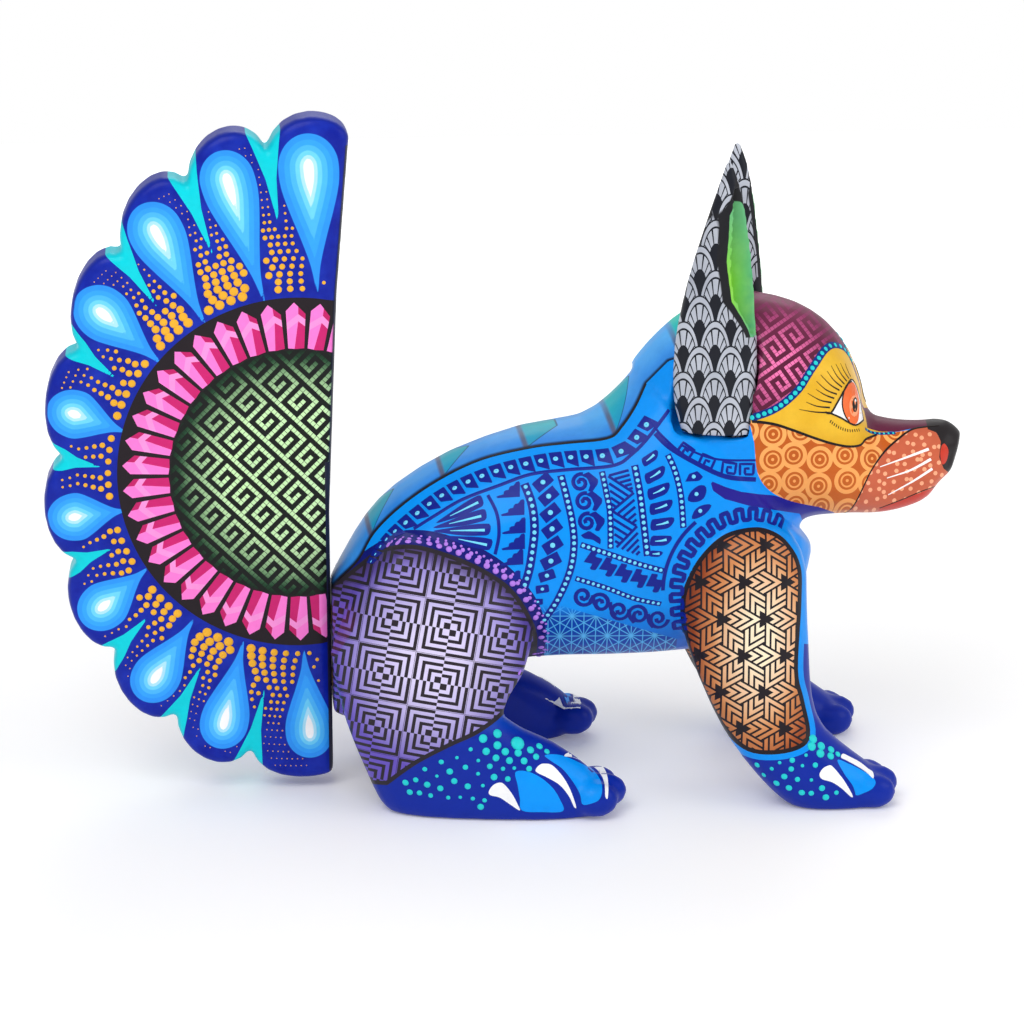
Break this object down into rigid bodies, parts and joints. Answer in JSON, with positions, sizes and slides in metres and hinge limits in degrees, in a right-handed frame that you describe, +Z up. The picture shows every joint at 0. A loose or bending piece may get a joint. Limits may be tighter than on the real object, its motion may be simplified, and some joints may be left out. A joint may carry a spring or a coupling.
{
  "type": "carved animal figure",
  "caption": "Carved and painted wooden animal standing on four legs, with upright ears and a flat scalloped fan tail that plug into the body.",
  "frame": {"origin": "on the floor, under the middle of the whole figure", "axes": "+X from the tail to the nose, +Z up, the animal's right side at -Y"},
  "size_m": [0.3308, 0.1118, 0.2482],
  "materials": {
    "body_paint": "acrylic paint under satin varnish, azure with navy and light blue patterns",
    "head_paint": "acrylic paint under satin varnish, maroon crown, yellow mask, orange cheek, terracotta muzzle",
    "ear_paint": "charcoal with silver feather scales, green inside, satin varnish",
    "tail_paint": "royal blue petals with dots, black ring with pink crystals, green meander disc, satin varnish",
    "front_leg_paint": "cream to rust chevrons on black, blue paw, satin varnish",
    "hind_leg_paint": "lavender squares on black, blue foot, satin varnish",
    "bare_wood": "plain turned copal wood"
  },
  "bodies": {
    "root": {"torso": "body_paint", "head": "head_paint", "neck_dowel": "bare_wood", "leg_front_right": "front_leg_paint", "leg_front_left": "front_leg_paint", "leg_hind_right": "hind_leg_paint", "leg_hind_left": "hind_leg_paint", "dowel_front_right": "bare_wood", "dowel_front_left": "bare_wood", "dowel_hind_right": "bare_wood", "dowel_hind_left": "bare_wood"},
    "ear_right": {"ear_right": "ear_paint"},
    "ear_left": {"ear_left": "ear_paint"},
    "tail": {"tail_fan": "tail_paint", "tail_peg_upper": "bare_wood", "tail_peg_lower": "bare_wood"}
  },
  "joints": [
    {"name": "ear_right_lift", "type": "slide", "parent": "root", "child": "ear_right", "axis": [0, 0, 1], "range_m": [0, 0.05]},
    {"name": "ear_left_lift", "type": "slide", "parent": "root", "child": "ear_left", "axis": [0, 0, 1], "range_m": [0, 0.05]},
    {"name": "tail_pull", "type": "slide", "parent": "root", "child": "tail", "axis": [-1, 0, 0], "range_m": [0, 0.02]}
  ]
}
